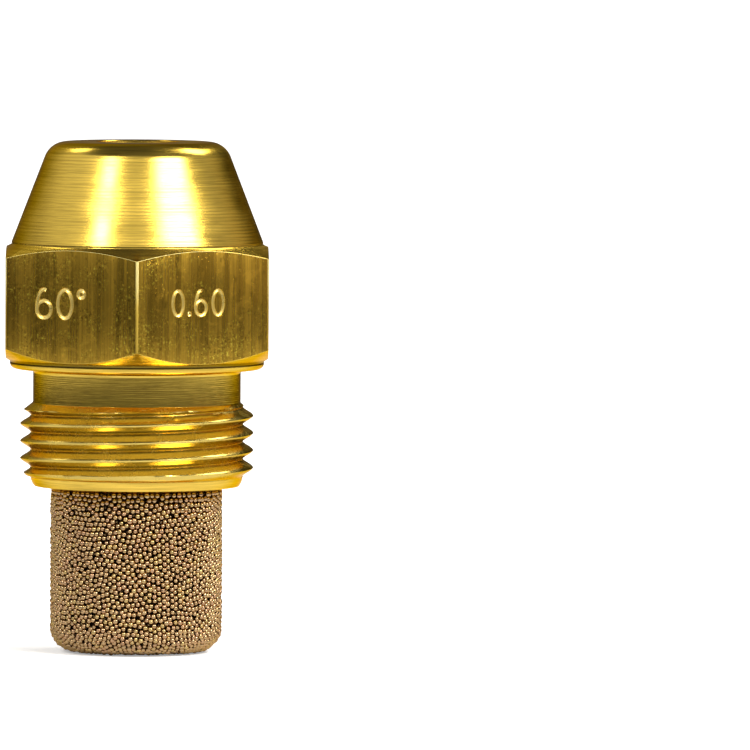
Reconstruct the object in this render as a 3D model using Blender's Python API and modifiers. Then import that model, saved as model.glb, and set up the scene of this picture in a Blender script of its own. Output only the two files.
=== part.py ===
"""Oil burner nozzle with its filter, built as the six pieces it comes apart into.

The nozzle stands on the flat end of its filter: that end is z = 0, and the spray
leaves upwards, along +Z. All pieces share the Z axis. Sizes in MM are millimetres.
"""

import math

import bmesh
import bpy

MM = 0.001
ASSEMBLY = "oil_burner_nozzle"

# Clearances
SEAT_GAP = 0.02
FIT_GAP = 0.05
FLANK_GAP = 0.05
OVERRUN = 2.0
FOOT_DEPTH = 0.06

# Roundness: faces to a full turn
BODY_STEPS = 48
CORE_STEPS = 24

# Body, outside
HEX_ACROSS_FLATS = 16.0
FRONT_Z = 31.2
REAR_Z = 10.0 + SEAT_GAP
CONE_SLOPE = 0.382
CONE_BASE_Z = 25.03
CONE_BASE_R = 7.69
FRONT_EDGE_R = 1.4
HEX_TOP_Z = 24.23
HEX_TOP_SLOPE = 0.45
HEX_LOW_Z = 18.70
HEX_LOW_SLOPE = 0.613
BLANK_R = 9.4
COLLAR_R = 7.75
NECK_R = 6.35
NECK_TOP_Z = 17.25
NECK_LOW_Z = 15.2

# Body, holder thread: 9/16 inch, 24 turns to the inch, right-hand
HOLDER_PITCH = 25.4 / 24
HOLDER_CREST_R = 7.10
HOLDER_ROOT_R = 6.54
HOLDER_CREST_Z = 14.48
HOLDER_TURNS = 6
THREAD_START_Z = 10.95
SEAL_R = 5.45

# Body, inside
BORE_R = 3.5
BORE_END_Z = 29.4
FRONT_HOLE_R = 2.55
INNER_THREAD_END_Z = 19.6

# Inner thread, M8 x 1 right-hand, shared by the locking screw and the filter bush
INNER_PITCH = 1.0
INNER_CREST_R = 3.95
INNER_ROOT_R = 3.38
INNER_CREST_Z = 9.0

# Orifice disc
DISC_FRONT_Z = 30.95
DISC_REAR_Z = 26.3
DISC_SEAT_R = 2.9
SWIRL_R = 0.5
SWIRL_Z = 28.7
THROAT_Z = 30.4
THROAT_R = 0.14
OUTLET_Z = 30.75
OUTLET_R = 0.28

# Distributor
DISTRIBUTOR_REAR_Z = 20.9
DISTRIBUTOR_SHOULDER_Z = 25.9
DISTRIBUTOR_TIP_Z = 28.5
SLOT_COUNT = 4
SWIRL_SLOT = 0.35
OIL_GROOVE_WIDTH = 0.8
OIL_GROOVE_DEPTH = 0.5

# Locking screw
SCREW_LOW_Z = 14.2
SCREW_THREAD_TOP_Z = 19.2
SCREW_NOSE_R = 2.9
SCREW_BORE_R = 1.6
SCREW_BORE_END_Z = 20.3
CROSS_HOLE_R = 0.6
CROSS_HOLE_Z = 19.95
DRIVER_SLOT = 1.2

# Filter and its threaded bush
FILTER_R = 5.3
FILTER_TOP_Z = 10.0
FILTER_EDGE_R = 1.5
FILTER_WALL = 1.8
FILTER_FLOOR = 1.8
BUSH_LOW_Z = 7.5
BUSH_THREAD_TOP_Z = 13.6
BUSH_BORE_R = 2.3
THREAD_CHAMFER = 0.45

BRASS = ((0.72, 0.50, 0.13), 0.28, 1.0)
STEEL = ((0.62, 0.61, 0.58), 0.25, 1.0)
BRONZE = ((0.45, 0.26, 0.13), 0.55, 1.0)


def clear_scene():
    """Take every object out of the open file."""
    for obj in list(bpy.data.objects):
        bpy.data.objects.remove(obj, do_unlink=True)


def new_collection(name):
    """A new collection linked to the scene."""
    collection = bpy.data.collections.new(name)
    bpy.context.scene.collection.children.link(collection)
    return collection


def new_material(name, look):
    """A plain Principled material from a colour, a roughness and a metallic value."""
    colour, roughness, metallic = look
    material = bpy.data.materials.new(name)
    material.use_nodes = True
    shader = material.node_tree.nodes["Principled BSDF"]
    shader.inputs["Base Color"].default_value = (*colour, 1.0)
    shader.inputs["Roughness"].default_value = roughness
    shader.inputs["Metallic"].default_value = metallic
    material.diffuse_color = (*colour, 1.0)
    return material


def arc(centre, radius, start_deg, end_deg, count):
    """Points of a round stretch of a profile, both ends included."""
    points = []
    for i in range(count + 1):
        angle = math.radians(start_deg + (end_deg - start_deg) * i / count)
        points.append((centre[0] + radius * math.cos(angle),
                       centre[1] + radius * math.sin(angle)))
    return points


def new_object(name, mesh, collection):
    """An object for a mesh, linked to a collection."""
    obj = bpy.data.objects.new(name, mesh)
    collection.objects.link(obj)
    return obj


def outline_mesh(name, points, closed, turn=0.0):
    """A mesh of edges through (radius, height) points, turned about Z from +X."""
    edges = [(i, i + 1) for i in range(len(points) - 1)]
    if closed:
        edges.append((len(points) - 1, 0))
    across = (math.cos(turn) * MM, math.sin(turn) * MM)
    mesh = bpy.data.meshes.new(name)
    mesh.from_pydata([(r * across[0], r * across[1], z * MM) for r, z in points],
                     edges, [])
    return mesh


def turned(name, points, steps, collection, closed=False):
    """A solid turned about Z from a profile that runs down its outer side.

    It starts half a step round from +X, so that its edges miss those of the threads
    and of the hexagon.
    """
    outline = outline_mesh(name, points, closed, math.pi / steps)
    obj = new_object(name, outline, collection)
    screw = obj.modifiers.new("Turn", "SCREW")
    screw.axis = "Z"
    screw.angle = math.tau
    screw.steps = steps
    screw.render_steps = steps
    screw.use_merge_vertices = True
    screw.merge_threshold = 0.000002
    screw.use_smooth_shade = True
    return obj


def helix_ridge(name, profile, pitch, turns, steps, collection):
    """A solid ridge wound about Z: a closed profile swept up a right-hand helix."""
    obj = new_object(name, outline_mesh(name, profile, True), collection)
    screw = obj.modifiers.new("Wind", "SCREW")
    screw.axis = "Z"
    screw.angle = math.tau
    screw.screw_offset = pitch * MM
    screw.iterations = turns
    screw.steps = steps
    screw.render_steps = steps
    screw.use_merge_vertices = False
    depsgraph = bpy.context.evaluated_depsgraph_get()
    wound = bpy.data.meshes.new_from_object(obj.evaluated_get(depsgraph))
    obj.modifiers.clear()
    obj.data = wound
    bm = bmesh.new()
    bm.from_mesh(wound)
    rims = [edge for edge in bm.edges if edge.is_boundary]
    bmesh.ops.holes_fill(bm, edges=rims, sides=len(profile))
    bmesh.ops.recalc_face_normals(bm, faces=bm.faces)
    bm.to_mesh(wound)
    bm.free()
    return obj


def ridge_profile(crest_r, foot_r, crest_half, crest_z):
    """Profile of one 60 degree thread ridge, with its foot sunk to foot_r."""
    foot_half = crest_half + (crest_r - foot_r) * math.tan(math.radians(30))
    return [
        (crest_r, crest_z + crest_half),
        (crest_r, crest_z - crest_half),
        (foot_r, crest_z - foot_half),
        (foot_r, crest_z + foot_half),
    ]


def boolean(obj, other, operation):
    """Add an exact Boolean modifier that uses another solid."""
    modifier = obj.modifiers.new(operation.title(), "BOOLEAN")
    modifier.operation = operation
    modifier.solver = "EXACT"
    modifier.object = other
    return modifier


def hide_tool(obj):
    """Mark a solid as a tool that only shapes another piece."""
    obj.hide_render = True
    obj.display_type = "WIRE"
    return obj


def box_tool(name, size, centre, turn, tools):
    """A box cutter, size and centre in millimetres, turned about Z by turn radians."""
    bm = bmesh.new()
    bmesh.ops.create_cube(bm, size=1.0)
    bmesh.ops.scale(bm, vec=[length * MM for length in size], verts=bm.verts)
    bmesh.ops.translate(bm, vec=[place * MM for place in centre], verts=bm.verts)
    mesh = bpy.data.meshes.new(name)
    bm.to_mesh(mesh)
    bm.free()
    obj = new_object(name, mesh, tools)
    obj.rotation_euler.z = turn
    return hide_tool(obj)


def finish(obj, material):
    """Give a piece its material and smooth shading with sharp edges kept."""
    obj.data.materials.append(material)
    mesh = obj.data
    if mesh.polygons:
        mesh.shade_smooth()
        mesh.set_sharp_from_angle(angle=math.radians(35))
    return obj


def body_outline():
    """Outer profile of the body, from the front face's centre to the rear's."""
    lean = math.atan(CONE_SLOPE)
    edge_top_z = FRONT_Z - FRONT_EDGE_R * (1 - math.sin(lean))
    edge_r = CONE_BASE_R - CONE_SLOPE * (edge_top_z - CONE_BASE_Z)
    edge_centre = (edge_r - FRONT_EDGE_R * math.cos(lean), FRONT_Z - FRONT_EDGE_R)
    corner_r = HEX_ACROSS_FLATS / math.sqrt(3)
    top_cut_z = HEX_TOP_Z + HEX_TOP_SLOPE * (corner_r - CONE_BASE_R)
    blank_top_z = HEX_TOP_Z - HEX_TOP_SLOPE * (BLANK_R - corner_r)
    blank_low_z = HEX_LOW_Z + HEX_LOW_SLOPE * (BLANK_R - corner_r)
    collar_z = HEX_LOW_Z - HEX_LOW_SLOPE * (corner_r - COLLAR_R)
    points = [(0, FRONT_Z)]
    points += arc(edge_centre, FRONT_EDGE_R, 90, math.degrees(lean), 5)
    points += [
        (CONE_BASE_R, CONE_BASE_Z),
        (CONE_BASE_R, top_cut_z),
        (BLANK_R, blank_top_z),
        (BLANK_R, blank_low_z),
        (COLLAR_R, collar_z),
        (COLLAR_R - 0.08, collar_z - 0.22),
        (COLLAR_R - 0.30, collar_z - 0.40),
        (NECK_R + 0.15, NECK_TOP_Z),
        (NECK_R, NECK_TOP_Z - 0.15),
        (NECK_R, NECK_LOW_Z),
        (HOLDER_ROOT_R, NECK_LOW_Z - 0.2),
        (HOLDER_ROOT_R, THREAD_START_Z),
        (HOLDER_ROOT_R - 0.21, REAR_Z + 0.46),
        (HOLDER_ROOT_R - 0.50, REAR_Z + 0.21),
        (SEAL_R, REAR_Z),
        (0, REAR_Z),
    ]
    return points


def holder_thread(tools):
    """The ridge of the holder thread, run out at both ends by a turned envelope."""
    start_z = HOLDER_CREST_Z - 5 * HOLDER_PITCH
    profile = ridge_profile(HOLDER_CREST_R, HOLDER_ROOT_R - FOOT_DEPTH,
                            HOLDER_PITCH / 16, start_z)
    ridge = helix_ridge("holder_ridge", profile, HOLDER_PITCH, HOLDER_TURNS,
                        BODY_STEPS, tools)
    envelope = [
        (0, NECK_LOW_Z - 0.2),
        (HOLDER_ROOT_R - 0.1, NECK_LOW_Z - 0.2),
        (HOLDER_CREST_R + 0.1, NECK_LOW_Z - 0.6),
        (HOLDER_CREST_R + 0.1, THREAD_START_Z + 0.4),
        (HOLDER_ROOT_R + 0.1, THREAD_START_Z - 0.15),
        (SEAL_R + 0.4, REAR_Z + 0.15),
        (0, REAR_Z + 0.15),
    ]
    limit = hide_tool(turned("holder_ridge_limit", envelope, BODY_STEPS, tools))
    boolean(ridge, limit, "INTERSECT")
    return hide_tool(ridge)


def hex_bar(tools):
    """The hexagonal bar that the body is cut from, flats facing +X and -X."""
    bm = bmesh.new()
    bmesh.ops.create_cone(bm, cap_ends=True, segments=6, depth=30 * MM,
                          radius1=HEX_ACROSS_FLATS / math.sqrt(3) * MM,
                          radius2=HEX_ACROSS_FLATS / math.sqrt(3) * MM)
    bmesh.ops.translate(bm, vec=(0, 0, 21 * MM), verts=bm.verts)
    mesh = bpy.data.meshes.new("hex_bar")
    bm.to_mesh(mesh)
    bm.free()
    return hide_tool(new_object("hex_bar", mesh, tools))


def body_bore(tools):
    """The stepped hole through the body, with a small lead-in at the rear."""
    points = [
        (0, FRONT_Z + OVERRUN),
        (FRONT_HOLE_R, FRONT_Z + OVERRUN),
        (FRONT_HOLE_R, BORE_END_Z),
        (BORE_R, BORE_END_Z),
        (BORE_R, REAR_Z + 0.7),
        (BORE_R + 0.7, REAR_Z),
        (BORE_R + 0.7, REAR_Z - OVERRUN),
        (0, REAR_Z - OVERRUN),
    ]
    return hide_tool(turned("body_bore", points, CORE_STEPS, tools))


def inner_crest_half():
    """Half the width of the flat crest of the inner thread."""
    return INNER_PITCH * 0.08


def inner_thread_cutter(tools):
    """The groove of the inner thread: the screws' ridge with room all round it."""
    slope = math.tan(math.radians(30))
    crest_r = INNER_CREST_R + 2 * FIT_GAP
    crest_half = inner_crest_half() + FLANK_GAP - 2 * FIT_GAP * slope
    profile = ridge_profile(crest_r, BORE_R - FOOT_DEPTH, crest_half, INNER_CREST_Z)
    turns = round((INNER_THREAD_END_Z - INNER_CREST_Z) / INNER_PITCH)
    return hide_tool(helix_ridge("inner_thread_cutter", profile, INNER_PITCH, turns,
                                 CORE_STEPS, tools))


def inner_ridge(name, low_z, high_z, tools):
    """The M8 ridge between two heights, chamfered where it starts and stops."""
    profile = ridge_profile(INNER_CREST_R, INNER_ROOT_R - FOOT_DEPTH,
                            inner_crest_half(), INNER_CREST_Z)
    turns = round(high_z - INNER_CREST_Z) + 1
    ridge = helix_ridge(name, profile, INNER_PITCH, turns, CORE_STEPS, tools)
    limit_r = INNER_CREST_R + 0.1
    cut = THREAD_CHAMFER
    envelope = [
        (0, high_z - FIT_GAP),
        (limit_r - cut - 0.25, high_z - FIT_GAP),
        (limit_r, high_z - cut - FIT_GAP),
        (limit_r, low_z + cut + FIT_GAP),
        (limit_r - cut - 0.25, low_z + FIT_GAP),
        (0, low_z + FIT_GAP),
    ]
    limit = hide_tool(turned(name + "_limit", envelope, CORE_STEPS, tools))
    boolean(ridge, limit, "INTERSECT")
    return hide_tool(ridge)


def make_body(parts, tools, material):
    """Brass body: cone, hexagon, neck, holder thread, bore and inner thread."""
    obj = turned("nozzle_body", body_outline(), BODY_STEPS, parts)
    boolean(obj, hex_bar(tools), "INTERSECT")
    boolean(obj, holder_thread(tools), "UNION")
    boolean(obj, body_bore(tools), "DIFFERENCE")
    boolean(obj, inner_thread_cutter(tools), "DIFFERENCE")
    return finish(obj, material)


def make_orifice_disc(parts, material):
    """Steel disc: a flange and boss round a conical seat, swirl chamber and orifice."""
    flange_r = BORE_R - FIT_GAP
    boss_r = FRONT_HOLE_R - FIT_GAP
    seat_z = BORE_END_Z - SEAT_GAP
    points = [
        (OUTLET_R, DISC_FRONT_Z),
        (boss_r, DISC_FRONT_Z),
        (boss_r, seat_z),
        (flange_r, seat_z),
        (flange_r, DISC_REAR_Z),
        (DISC_SEAT_R, DISC_REAR_Z),
        (SWIRL_R, SWIRL_Z),
        (SWIRL_R, THROAT_Z - 0.5),
        (THROAT_R, THROAT_Z),
        (THROAT_R, OUTLET_Z),
    ]
    return finish(turned("orifice_disc", points, CORE_STEPS, parts, closed=True), material)


def make_distributor(parts, tools, material):
    """Steel distributor: oil grooves up its side and swirl slots across its cone."""
    barrel_r = BORE_R - FIT_GAP

    def cone_r(z):
        return DISC_SEAT_R - 0.04 - (z - DISC_REAR_Z)

    points = [
        (0, DISTRIBUTOR_TIP_Z),
        (cone_r(DISTRIBUTOR_TIP_Z), DISTRIBUTOR_TIP_Z),
        (cone_r(DISTRIBUTOR_SHOULDER_Z), DISTRIBUTOR_SHOULDER_Z),
        (barrel_r, DISTRIBUTOR_SHOULDER_Z),
        (barrel_r, DISTRIBUTOR_REAR_Z + 0.3),
        (barrel_r - 0.3, DISTRIBUTOR_REAR_Z),
        (0, DISTRIBUTOR_REAR_Z),
    ]
    obj = turned("distributor", points, CORE_STEPS, parts)
    height = DISTRIBUTOR_TIP_Z - DISTRIBUTOR_REAR_Z
    mid_z = (DISTRIBUTOR_TIP_Z + DISTRIBUTOR_REAR_Z) / 2
    for i in range(SLOT_COUNT):
        turn = math.tau * (i + 0.5) / SLOT_COUNT
        groove = box_tool(f"oil_groove_{i + 1}",
                          (2 * OIL_GROOVE_DEPTH, OIL_GROOVE_WIDTH, height + OVERRUN),
                          (barrel_r, 0, mid_z), turn, tools)
        boolean(obj, groove, "DIFFERENCE")
        slot = box_tool(f"swirl_slot_{i + 1}",
                        (2 * OVERRUN, SWIRL_SLOT, 2 * SWIRL_SLOT),
                        (cone_r(DISTRIBUTOR_TIP_Z) + OVERRUN - 0.3, SWIRL_SLOT,
                         DISTRIBUTOR_TIP_Z), turn, tools)
        boolean(obj, slot, "DIFFERENCE")
    return finish(obj, material)


def make_locking_screw(parts, tools, material):
    """Brass screw that clamps the distributor: slot, feed bore and cross hole."""
    top_z = DISTRIBUTOR_REAR_Z - SEAT_GAP
    points = [
        (0, top_z),
        (SCREW_NOSE_R - 0.2, top_z),
        (SCREW_NOSE_R, top_z - 0.2),
        (SCREW_NOSE_R, SCREW_THREAD_TOP_Z),
        (INNER_ROOT_R, SCREW_THREAD_TOP_Z - 0.3),
        (INNER_ROOT_R, SCREW_LOW_Z),
        (0, SCREW_LOW_Z),
    ]
    obj = turned("locking_screw", points, CORE_STEPS, parts)
    boolean(obj, inner_ridge("locking_ridge", SCREW_LOW_Z, SCREW_THREAD_TOP_Z, tools),
            "UNION")
    bore = [
        (0, SCREW_BORE_END_Z),
        (SCREW_BORE_R, SCREW_BORE_END_Z),
        (SCREW_BORE_R, SCREW_LOW_Z - OVERRUN),
        (0, SCREW_LOW_Z - OVERRUN),
    ]
    boolean(obj, hide_tool(turned("screw_bore", bore, CORE_STEPS, tools)), "DIFFERENCE")
    slot = box_tool("driver_slot", (12, DRIVER_SLOT, 2 * DRIVER_SLOT),
                    (0, 0, SCREW_LOW_Z), math.radians(20), tools)
    boolean(obj, slot, "DIFFERENCE")
    bm = bmesh.new()
    bmesh.ops.create_cone(bm, cap_ends=True, segments=16, depth=10 * MM,
                          radius1=CROSS_HOLE_R * MM, radius2=CROSS_HOLE_R * MM)
    mesh = bpy.data.meshes.new("cross_hole")
    bm.to_mesh(mesh)
    bm.free()
    drill = hide_tool(new_object("cross_hole", mesh, tools))
    drill.rotation_euler = (math.radians(90), 0, math.radians(7))
    drill.location.z = CROSS_HOLE_Z * MM
    boolean(obj, drill, "DIFFERENCE")
    return finish(obj, material)


def make_filter_bush(parts, tools, material):
    """Brass bush: a spigot in the filter's mouth and a thread into the body."""
    shoulder_z = FILTER_TOP_Z + SEAT_GAP
    spigot_r = FILTER_R - FILTER_WALL - FIT_GAP
    points = [
        (BUSH_BORE_R, BUSH_THREAD_TOP_Z),
        (INNER_ROOT_R, BUSH_THREAD_TOP_Z),
        (INNER_ROOT_R, shoulder_z),
        (spigot_r, shoulder_z),
        (spigot_r, BUSH_LOW_Z),
        (BUSH_BORE_R, BUSH_LOW_Z),
    ]
    obj = turned("filter_bush", points, CORE_STEPS, parts, closed=True)
    boolean(obj, inner_ridge("bush_ridge", shoulder_z, BUSH_THREAD_TOP_Z, tools), "UNION")
    return finish(obj, material)


def make_filter(parts, material):
    """Sintered bronze filter: a thick cup, closed and rounded at its lower end."""
    inner_r = FILTER_R - FILTER_WALL
    centre = (FILTER_R - FILTER_EDGE_R, FILTER_EDGE_R)
    points = [(FILTER_R - 0.15, FILTER_TOP_Z), (FILTER_R, FILTER_TOP_Z - 0.15)]
    points += arc(centre, FILTER_EDGE_R, 0, -90, 6)
    points += [
        (0, 0),
        (0, FILTER_FLOOR),
        (inner_r - 0.5, FILTER_FLOOR),
        (inner_r, FILTER_FLOOR + 0.5),
        (inner_r, FILTER_TOP_Z),
    ]
    return finish(turned("sintered_filter", points, BODY_STEPS, parts, closed=True),
                  material)


def main():
    """Build the six pieces in a collection of their own."""
    clear_scene()
    parts = new_collection(ASSEMBLY)
    tools = new_collection(ASSEMBLY + "_cutters")
    make_body(parts, tools, new_material("body_brass", BRASS))
    make_orifice_disc(parts, new_material("disc_steel", STEEL))
    make_distributor(parts, tools, new_material("distributor_steel", STEEL))
    make_locking_screw(parts, tools, new_material("screw_brass", BRASS))
    make_filter_bush(parts, tools, new_material("bush_brass", BRASS))
    make_filter(parts, new_material("filter_bronze", BRONZE))


main()
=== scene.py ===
"""Oil burner nozzle: finished pieces, materials and a plain studio round the CAD frame.

It is laid out as an add-on and run as a script. Lengths are metres. The nozzle stands
on its filter at the origin and sprays along +Z, and every turned piece shares that axis.
"""

import math
import random

import bmesh
import bpy
import numpy as np
from mathutils import Matrix, Vector
from mathutils.kdtree import KDTree


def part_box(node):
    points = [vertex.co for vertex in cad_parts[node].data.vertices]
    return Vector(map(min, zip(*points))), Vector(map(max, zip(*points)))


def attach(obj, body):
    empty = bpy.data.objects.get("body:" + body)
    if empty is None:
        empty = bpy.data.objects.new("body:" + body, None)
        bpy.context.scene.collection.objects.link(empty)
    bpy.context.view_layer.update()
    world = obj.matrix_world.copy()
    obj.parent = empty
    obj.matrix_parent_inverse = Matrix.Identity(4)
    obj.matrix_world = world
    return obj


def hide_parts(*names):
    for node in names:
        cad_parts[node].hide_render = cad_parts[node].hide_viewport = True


bl_info = {
    "name": "Oil Burner Nozzle",
    "version": (1, 0, 0),
    "blender": (4, 5, 0),
    "location": "3D View > Sidebar > Nozzle",
    "description": "Builds the pieces of an oil burner nozzle and a studio for it",
    "category": "Object",
}

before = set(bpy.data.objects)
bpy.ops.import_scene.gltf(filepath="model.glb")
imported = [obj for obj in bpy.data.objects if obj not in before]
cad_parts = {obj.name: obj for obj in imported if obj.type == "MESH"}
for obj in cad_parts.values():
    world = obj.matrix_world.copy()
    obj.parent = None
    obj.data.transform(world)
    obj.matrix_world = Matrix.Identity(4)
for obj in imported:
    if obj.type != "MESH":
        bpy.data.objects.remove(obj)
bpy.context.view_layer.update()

MM = 0.001
BODY_LOW, BODY_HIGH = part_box("nozzle_body")
DISC_LOW, DISC_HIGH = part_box("orifice_disc")
CONE_LOW, CONE_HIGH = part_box("distributor")
SCREW_LOW, SCREW_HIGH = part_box("locking_screw")
BUSH_LOW, BUSH_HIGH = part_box("filter_bush")
FILTER_LOW, FILTER_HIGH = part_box("sintered_filter")

HOLDER_PITCH = 25.4 / 24 * MM
INNER_PITCH = 1.0 * MM
INNER_PHASE = 9.0 * MM
THREAD_HALF_ANGLE = math.radians(30)
HOLDER_CREST, HOLDER_ROOT = 7.155 * MM, 6.475 * MM
INNER_CREST, INNER_ROOT = 3.95 * MM, 3.38 * MM
TAP_CREST, TAP_ROOT = 4.05 * MM, 3.52 * MM


class NozzleSizes(bpy.types.PropertyGroup):
    """Sizes of the pieces."""

    across_flats: bpy.props.FloatProperty(
        name="Across flats", description="Width of the hexagon over two opposite flats",
        default=BODY_HIGH.x - BODY_LOW.x, unit="LENGTH", precision=5)
    cone_slope: bpy.props.FloatProperty(
        name="Cone slope", description="How much the cone's radius grows for each unit down",
        default=0.382)
    front_edge: bpy.props.FloatProperty(
        name="Front edge", description="Radius of the rounding round the front face",
        default=1.4 * MM, unit="LENGTH", precision=5)
    worn_edge: bpy.props.FloatProperty(
        name="Worn edge", description="Width of the worn edges of the hexagon",
        default=0.09 * MM, unit="LENGTH", precision=5)
    stamp_depth: bpy.props.FloatProperty(
        name="Stamp depth", description="Depth of the stamped numbers",
        default=0.11 * MM, unit="LENGTH", precision=5)
    ball: bpy.props.FloatProperty(
        name="Ball", description="Diameter of the balls that the filter is sintered from",
        default=0.35 * MM, unit="LENGTH", precision=5)
    steps: bpy.props.IntProperty(
        name="Steps", description="Faces to a full turn of the outer pieces", default=192)
    inner_steps: bpy.props.IntProperty(
        name="Inner steps", description="Faces to a full turn of the inner pieces",
        default=96)


class NozzleFinishes(bpy.types.PropertyGroup):
    """Colours of the metals."""

    turned_brass: bpy.props.FloatVectorProperty(
        name="Turned brass", description="Brass as the lathe leaves it",
        default=(0.78, 0.53, 0.086), size=3, min=0, max=1, subtype="COLOR")
    drawn_brass: bpy.props.FloatVectorProperty(
        name="Drawn brass", description="Skin of the drawn bar on the hexagon's flats",
        default=(0.565, 0.34, 0.040), size=3, min=0, max=1, subtype="COLOR")
    steel: bpy.props.FloatVectorProperty(
        name="Steel", description="Turned stainless steel",
        default=(0.63, 0.61, 0.58), size=3, min=0, max=1, subtype="COLOR")
    bronze: bpy.props.FloatVectorProperty(
        name="Bronze", description="Sintered bronze balls",
        default=(0.455, 0.312, 0.165), size=3, min=0, max=1, subtype="COLOR")
    bronze_gap: bpy.props.FloatVectorProperty(
        name="Bronze gap", description="The dark pores between the balls",
        default=(0.10, 0.045, 0.025), size=3, min=0, max=1, subtype="COLOR")


# Modelling by hand


def deselect():
    """Leave edit mode and deselect everything."""
    if bpy.context.mode != "OBJECT":
        bpy.ops.object.mode_set(mode="OBJECT")
    bpy.ops.object.select_all(action="DESELECT")


def hold(piece):
    """Make one object the only selected one, and the active one."""
    deselect()
    piece.select_set(True)
    bpy.context.view_layer.objects.active = piece


def apply_modifier(piece, kind, **settings):
    """Add a modifier with these settings and apply it."""
    hold(piece)
    modifier = piece.modifiers.new(kind.title(), kind)
    for name, value in settings.items():
        setattr(modifier, name, value)
    bpy.ops.object.modifier_apply(modifier=modifier.name)


def cut(piece, tool, operation="DIFFERENCE"):
    """Cut a piece with a tool, or join the two, and throw the tool away."""
    apply_modifier(piece, "BOOLEAN", operation=operation, solver="EXACT", object=tool)
    bpy.data.objects.remove(tool)


def smooth(piece, degrees=30):
    """Shade smooth, with edges sharper than the angle kept."""
    hold(piece)
    bpy.ops.object.shade_smooth_by_angle(angle=math.radians(degrees))


def arc(centre_r, centre_z, radius, start, end, count):
    """Outline points of a round stretch, angles in degrees from the outward direction."""
    points = []
    for i in range(count + 1):
        angle = math.radians(start + (end - start) * i / count)
        points.append((centre_r + radius * math.cos(angle),
                       centre_z + radius * math.sin(angle)))
    return points


def turned(name, outline, steps):
    """A closed solid turned from (radius, height) points, down the outside, up the inside.

    A ring is extruded and resized from point to point. Where the outline starts and ends
    on the axis its end rings are filled, and otherwise they meet.
    """
    deselect()
    solid = outline[0][0] == 0
    rings = outline[1:-1] if solid else outline + outline[:1]
    radius, height = rings[0]
    bpy.ops.mesh.primitive_circle_add(vertices=steps, radius=radius,
                                      fill_type="NGON" if solid else "NOTHING")
    piece = bpy.context.object
    piece.name = name
    bpy.ops.object.mode_set(mode="EDIT")
    bpy.ops.transform.translate(value=(0, 0, height))
    for next_radius, next_height in rings[1:]:
        bpy.ops.mesh.extrude_region_move(
            TRANSFORM_OT_translate={"value": (0, 0, next_height - height)})
        ratio = next_radius / radius
        bpy.ops.transform.resize(value=(ratio, ratio, 1),
                                 center_override=(0, 0, next_height))
        radius, height = next_radius, next_height
    bpy.ops.mesh.select_all(action="SELECT")
    bpy.ops.mesh.remove_doubles(threshold=0.5e-6)
    bpy.ops.mesh.normals_make_consistent(inside=False)
    bpy.ops.object.mode_set(mode="OBJECT")
    return piece


def thread_radius(along, crest, root, pitch, rounding):
    """Radius of a 60 degree thread at a part of its pitch, with rounded crest and root."""
    sharp = abs(2 * (along % 1) - 1) * pitch / 2 / math.tan(THREAD_HALF_ANGLE)
    height = crest - root
    wave = sharp - (pitch / 2 / math.tan(THREAD_HALF_ANGLE) - height) / 2
    low = rounding * math.log1p(math.exp(wave / rounding))
    return root + low - rounding * math.log1p(math.exp((low - height) / rounding))


def threaded_rod(name, crest, root, pitch, phase, low, high, steps, rounding, count=16):
    """A solid rod with a right-hand thread whose crest is at +X at the height phase."""
    deselect()
    first = phase - pitch * (math.ceil((phase - low) / pitch) + 1)
    turns = math.ceil((high - first) / pitch) + 1
    bpy.ops.mesh.primitive_circle_add(vertices=3, radius=pitch)
    rod = bpy.context.object
    rod.name = name
    bpy.ops.object.mode_set(mode="EDIT")
    bpy.ops.mesh.select_all(action="SELECT")
    bpy.ops.mesh.merge(type="CENTER")
    radius = thread_radius(0, crest, root, pitch, rounding)
    bpy.ops.transform.translate(value=(radius, 0, first))
    for i in range(1, count + 1):
        next_radius = thread_radius(i / count, crest, root, pitch, rounding)
        bpy.ops.mesh.extrude_region_move(TRANSFORM_OT_translate={
            "value": (next_radius - radius, 0, pitch / count)})
        radius = next_radius
    bpy.ops.object.mode_set(mode="OBJECT")
    apply_modifier(rod, "SCREW", axis="Z", angle=math.tau, screw_offset=pitch,
                   iterations=turns, steps=steps, render_steps=steps)
    bpy.ops.object.mode_set(mode="EDIT")
    bpy.ops.mesh.select_all(action="SELECT")
    bpy.ops.mesh.remove_doubles(threshold=0.5e-6)
    bpy.ops.mesh.select_all(action="SELECT")
    bpy.ops.mesh.bisect(plane_co=(0, 0, low), plane_no=(0, 0, 1), use_fill=True,
                        clear_inner=True, threshold=1e-7)
    bpy.ops.mesh.select_all(action="SELECT")
    bpy.ops.mesh.bisect(plane_co=(0, 0, high), plane_no=(0, 0, 1), use_fill=True,
                        clear_outer=True, threshold=1e-7)
    bpy.ops.mesh.select_all(action="SELECT")
    bpy.ops.mesh.normals_make_consistent(inside=False)
    bpy.ops.object.mode_set(mode="OBJECT")
    return rod


def limit_radius(rod, limits):
    """Pull a rod's surface in where it stands out past (height, radius) limits."""
    heights = [height for height, _ in limits]
    radii = [radius for _, radius in limits]
    mesh = rod.data
    for vertex in mesh.vertices:
        most = float(np.interp(vertex.co.z, heights, radii))
        reach = math.hypot(vertex.co.x, vertex.co.y)
        if reach > most:
            vertex.co.x *= most / reach
            vertex.co.y *= most / reach


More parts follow.
